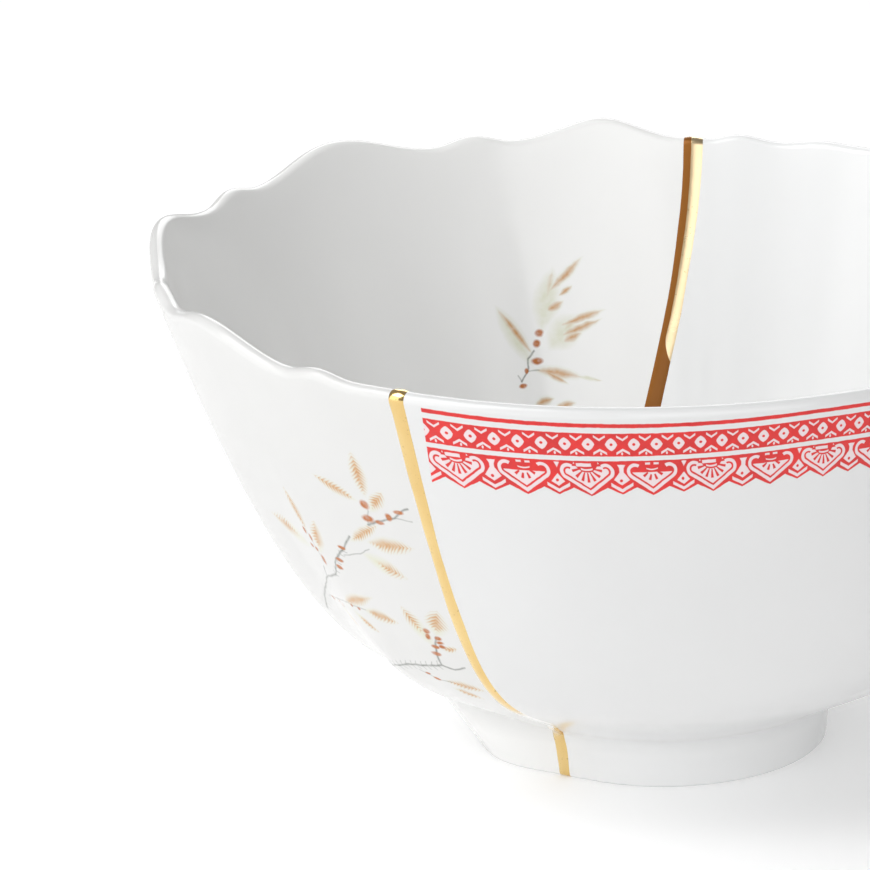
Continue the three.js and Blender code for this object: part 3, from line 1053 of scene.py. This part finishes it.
def tall_sprig(finish, azimuth):
    """Branching sprig on the outside, with leaves on both hands."""
    sprig = Sprig(finish, azimuth, (215, 50), 83, barbs=BARBS)
    for leaf in (
        ((18, 26), (17.7, 34), 2.2, 1), ((14.7, 24), (7, 27), 1.6, 0.9),
        ((18.5, 22.4), (22, 26.4), 2, 0.7), ((-4.6, 12.2), (-6.4, 20), 2, 0.9),
        ((-8.5, 7.7), (-19.6, 10.2), 3, 0.4), ((-2, 8), (0.6, 14.8), 2.6, 0.7),
        ((11, 14), (18, 18.4), 1.6, 0.9), ((16, 14.3), (25, 15), 2.3, 1),
        ((13.5, 10.8), (21.4, 8), 2.4, 0.35), ((-0.8, -3.2), (9.3, 0.2), 1.8, 0.9),
        ((7, -3), (14.8, -4), 1.8, 0.7), ((1.6, -4.9), (7.7, -7.7), 1.3, 0.5),
        ((-8.2, -6.9), (-2.6, -9.8), 1.3, 0.3),
    ):
        sprig.leaf(*leaf)
    sprig.twig("twig", (-25, -12.6), (-19.8, -8), (-6, 0.7), (-4.6, 3.6))
    sprig.twig("twig", (-6, 0.7), (0.8, 3.3), (3.5, 7.7), (7.8, 11.4), (10.4, 14.6))
    sprig.twig("twig", (16.6, 18.5), (20, 20.2), (23.5, 21.5), (27, 24.2))
    sprig.twig("hair", (23.5, 21.5), (27.4, 21.3))
    sprig.twig("hair", (16.8, 19), (17.6, 22))
    sprig.twig("hair", (7, 9.6), (11.6, 10.9), (14.7, 12.6))
    sprig.twig("hair", (-15.9, -6.9), (-1, -3.5), (7, -3))
    sprig.twig("hair", (-2.8, 5.3), (-5, 12))
    sprig.thorns((-24, -11.7), (-6, 0.7), 2.1, 1.2)
    sprig.thorns((0.8, 3.3), (7.8, 11.4), 1.6, 0.8)
    for berry in (
        (17.2, 23.2, 1, 0.9), (17, 20, 1.4, 0.8), (19.7, 19.7, 1, 0.45), (22.2, 21.4, 0.7, 0.8),
        (24.8, 22.9, 1.1, 0.45), (-5.7, 11.4, 0.6, 0.8), (-4.1, 10.3, 0.6, 0.8),
        (-5.4, 8.1, 0.7, 0.5), (-3.6, 7.8, 0.7, 0.5), (-2.3, 5.8, 0.7, 1), (7, 11.3, 1, 0.4),
        (4.8, 7.9, 1.1, 0.5), (3.8, 6, 1, 0.45), (-13.2, -6.6, 0.9, 0.45), (-8.1, -5.6, 0.6, 0.4),
        (-6.1, -6, 0.6, 0.4), (1.4, -3.5, 0.5, 0.4), (4.5, -3.5, 0.6, 0.35),
    ):
        sprig.berry(*berry)
    return sprig


def low_sprig(finish, azimuth):
    """Small sprig low on the outside, beside the gold."""
    sprig = Sprig(finish, azimuth, (229, 40), 76, barbs=BARBS)
    for leaf in (
        ((2.6, 3), (-1.4, 9.8), 2.4, 0.3), ((4.6, 5.2), (6.2, 10.6), 3, 0.6),
        ((5, 1.7), (8, 2.4), 1, 0.8), ((2, -7.1), (9.4, -7.9), 1.5, 1),
        ((2, -9), (7.4, -10.8), 1.3, 0.7),
    ):
        sprig.leaf(*leaf)
    sprig.twig("twig", (-20, -9), (-8.3, -5.1), (2.8, -2.6), (5.6, -3.2), (8.3, -2.2))
    sprig.twig("twig", (2.8, -2.6), (2.6, 0.5), (4.2, 4.6))
    sprig.twig("hair", (-5, -5.6), (-1, -6.9), (2.8, -7.2))
    sprig.thorns((-18, -8.3), (-8.3, -5.1), 1.7, 1)
    sprig.thorns((-8.3, -5.1), (2.8, -2.6), 1.7, 0.9)
    for berry in (
        (2.4, 5.7, 0.7, 0.6), (2.3, 4.4, 0.6, 0.8), (4.6, 4.3, 0.8, 0.5), (4.7, 3.2, 0.9, 0.4),
        (3.2, 2.1, 0.9, 0.4), (4.9, 2.3, 0.8, 0.4), (2.7, 0.4, 1, 0.5), (-2.8, -6, 0.8, 0.35),
        (-1, -6.9, 0.8, 0.35),
    ):
        sprig.berry(*berry)
    return sprig


def inside_sprig(finish, azimuth):
    """Sprig on the inside of the back wall, softer and greener."""
    sprig = Sprig(finish, azimuth, (106, 57), 81, heading=-1)
    for leaf in (
        ((0.5, 6.2), (3.6, 16.4), 3.4, 0), ((3.2, 13.4), (9.6, 19), 1.3, 1),
        ((4.8, 12.1), (7.4, 13.8), 1, 1), ((2, 9.2), (5.2, 10.8), 1.4, 0.9),
        ((2, 2.1), (7.6, 7.2), 4, 0), ((4.8, 6.1), (13, 8.6), 1.3, 1),
        ((4.8, 4.1), (12.4, 6.7), 1.3, 1),
        ((4.8, 2.8), (8.4, 4.3), 1.5, 1), ((-3.5, -0.1), (-8.3, 10), 2.6, 0),
        ((-2.9, 1.4), (-8, 9.8), 1.3, 1), ((-1.8, -2.5), (7, -4.4), 1.7, 1),
        ((-0.4, -2.8), (4.2, -5.6), 1.1, 1), ((6.6, -4.3), (11.7, -5.4), 0.6, 0),
        ((-1, -11), (5, -15), 2, 0.8), ((-5, -11), (-10, -16), 2, 0.4),
        ((-3.4, -9.2), (0.6, -8.5), 1.5, 1), ((1.4, -10.2), (5.4, -9.7), 1.3, 1),
    ):
        sprig.leaf(*leaf)
    sprig.twig("twig", (-2.1, 1.4), (-3.6, -0.1), (-4.2, -2.4), (-6, -4.2))
    sprig.twig("hair", (-4.2, -2.4), (-1.6, -2.5))
    sprig.twig("hair", (-6.6, -3), (-6, -4.2))
    for berry in (
        (-0.4, 4.9, 0.9, 0.75), (-1.2, 2.8, 0.8, 0.8), (-1.6, -0.7, 1.2, 0.65),
        (-4.5, -2.3, 0.45, 0.6), (-5.8, -5.2, 0.9, 0.5),
    ):
        sprig.berry(*berry)
    return sprig


def plain_glaze(finish):
    return porcelain(finish, PLAIN_WHITE, PLAIN_PAINTED_SHADE)


def lobed_glaze(finish):
    return porcelain(finish, LOBED_WHITE, LOBED_PAINTED_SHADE)


def plain_porcelain():
    finish = WallFinish("plain_porcelain")
    finish.set(Base_Color=plain_glaze(finish))
    return finish.material


def bordered_porcelain():
    finish = WallFinish("bordered_porcelain")
    finish.set(Base_Color=red_border(finish, plain_glaze(finish)))
    return finish.material


def lobed_porcelain():
    finish = WallFinish("lobed_porcelain")
    finish.set(Base_Color=lobed_glaze(finish))
    return finish.material


def outside_sprigs():
    """The painted part of the outside, where the same sprigs grow twice."""
    finish = WallFinish("outside_sprigs")
    azimuth = finish.turn + (finish.turn < 0) * 360
    azimuth = azimuth + (azimuth < SPRIG_REPEAT_END) * SPRIG_REPEAT
    ground = low_sprig(finish, azimuth).paint(lobed_glaze(finish))
    finish.set(Base_Color=tall_sprig(finish, azimuth).paint(ground))
    return finish.material


def inside_sprigs():
    """The painted part of the inside."""
    finish = WallFinish("inside_sprigs")
    finish.set(Base_Color=inside_sprig(finish, finish.turn).paint(lobed_glaze(finish)))
    return finish.material


def worn_shoulder(finish):
    """1 where the gold has worn down to the glaze, on the front shoulder over the foot."""
    azimuth = finish.turn + (finish.turn < 0) * 360
    above = finish.within(FADE_BOTTOM - finish.height, 0.6)
    below = finish.within(finish.height - FADE_TOP + 2 * finish.noise(300, 1), 3)
    return finish.is_outside * (azimuth > 180) * above * below


def painted_dark_reflection(finish):
    """1 where a dark reflection is painted in brown over the gold inside the back wall: one edge,
    and lower down.
    """
    down = finish.most(1 - finish.height / BOWL_HEIGHT, 0)
    swing = (CRACK_BACK_FOOT - CRACK_BACK_RIM) * finish.math("POWER", down, CRACK_BACK_CURVE)
    aside = (finish.turn - (CRACK_BACK_RIM + swing)) * finish.radius * math.radians(1)
    below = finish.most(REFLECTION_BELOW - finish.height, 0)
    edge = aside - REFLECTION_EDGE + finish.noise(90, 2) * 0.6 + below * below * REFLECTION_WIDENS
    return finish.within(-edge, 0.15) * finish.within(REFLECTION_END - finish.height, 6)


def gold_lacquer():
    """Gold dust burnished over lacquer, worn in places, with a dark reflection painted in brown
    inside the back wall.
    """
    finish = WallFinish("gold_lacquer")
    worn = worn_shoulder(finish)
    back_arm = (1 - finish.is_outside) * (abs(finish.turn - BACK_AZIMUTH) < 40)
    # Painted dark reflection on the inside of the back gold, in brown.
    brown = back_arm * painted_dark_reflection(finish)
    gold = finish.blend(finish.within(finish.noise(70, 3), 0.5), GOLD_BRIGHT, GOLD_DEEP)
    gold = finish.blend(back_arm, GOLD_PALE, gold)
    specks = finish.within(finish.noise(1500, 1) + 0.22, 0.05)
    gold = finish.blend(specks * 0.5, GOLD_SPECK, gold)
    gold = finish.blend(worn, (*LOBED_WHITE, 1), gold)
    bump = finish.node("ShaderNodeBump", {}, {
        "Height": finish.noise(160, 3) + finish.noise(900, 2) * 0.15,
        "Strength": 0.25, "Distance": 0.0003,
    })
    finish.set(
        Base_Color=finish.blend(brown, PAINTED_REFLECTION_BROWN, gold),
        Metallic=1 - worn,
        Roughness=0.17 + 0.1 * finish.noise(220, 2) + 0.12 * back_arm + 0.3 * brown,
        Coat_Weight=0.6 - 0.5 * brown,
        Coat_Roughness=0.08,
        Normal=bump.outputs[0],
    )
    return finish.material


# The scene


def camera():
    """The photograph's view: far off, a little above the rim, rolled slightly."""
    pitch, roll = math.radians(CAMERA_PITCH), math.radians(CAMERA_ROLL)
    right = Vector((1, 0, 0))
    up = Vector((0, math.sin(pitch), math.cos(pitch)))
    back = Vector((0, -math.cos(pitch), math.sin(pitch)))
    turned_right = math.cos(roll) * right + math.sin(roll) * up
    turned_up = math.cos(roll) * up - math.sin(roll) * right
    data = bpy.data.cameras.new("camera")
    data.lens = CAMERA_LENS
    data.sensor_width = 36
    data.clip_end = 20
    view = bpy.data.objects.new("camera", data)
    turn = Matrix((turned_right, turned_up, back)).transposed().to_4x4()
    view.matrix_world = Matrix.Translation(AXIS + Vector(CAMERA_AT) * MM) @ turn
    bpy.context.scene.collection.objects.link(view)
    bpy.context.scene.camera = view


def soft_light(name, at, size, power):
    """A white panel that faces the bowl."""
    data = bpy.data.lights.new(name, "AREA")
    data.shape = "SQUARE"
    data.size = size
    data.energy = power
    light = bpy.data.objects.new(name, data)
    light.location = at
    light.rotation_euler = (Vector((0, 0, 0.06)) - Vector(at)).to_track_quat("-Z", "Y").to_euler()
    bpy.context.scene.collection.objects.link(light)


def studio():
    """A white table in a white room, among soft panels that are stronger on the left."""
    bpy.ops.mesh.primitive_plane_add(size=8)
    floor = bpy.context.object
    floor.name = "table"
    white = bpy.data.materials.new("table_white")
    white.use_nodes = True
    shader = white.node_tree.nodes["Principled BSDF"]
    shader.inputs["Base Color"].default_value = (0.85, 0.85, 0.85, 1)
    shader.inputs["Roughness"].default_value = 0.7
    shader.inputs["Emission Color"].default_value = (1, 1, 1, 1)
    shader.inputs["Emission Strength"].default_value = TABLE_GLOW
    floor.data.materials.append(white)
    world = bpy.data.worlds.new("room")
    world.use_nodes = True
    world.node_tree.nodes["Background"].inputs["Color"].default_value = (1, 1, 1, 1)
    world.node_tree.nodes["Background"].inputs["Strength"].default_value = ROOM_LIGHT
    bpy.context.scene.world = world
    bpy.context.scene.view_settings.view_transform = "Standard"
    for light in SOFT_LIGHTS:
        soft_light(*light)


camera()
lobed = porcelain_half("lobed_porcelain_half", 1, lobed_porcelain())
plain = porcelain_half("plain_porcelain_half", -1, plain_porcelain())
paint_regions(
    lobed,
    (outside_sprigs(), OUTSIDE_SPRIG_TURNS, OUTSIDE_SPRIG_HEIGHTS, True),
    (inside_sprigs(), INSIDE_SPRIG_TURNS, INSIDE_SPRIG_HEIGHTS, False),
)
paint_regions(plain, (bordered_porcelain(), BORDER_TURNS, BORDER_HEIGHTS, True))
seam = gold_line("gold_join", gold_lacquer())
for piece, node, slot in (
    (lobed, "lobed_half", "lobed_porcelain"),
    (plain, "plain_half", "plain_porcelain"),
    (seam, "gold_seam", "gold_lacquer"),
):
    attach(piece, "root")
    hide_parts(node)

studio()
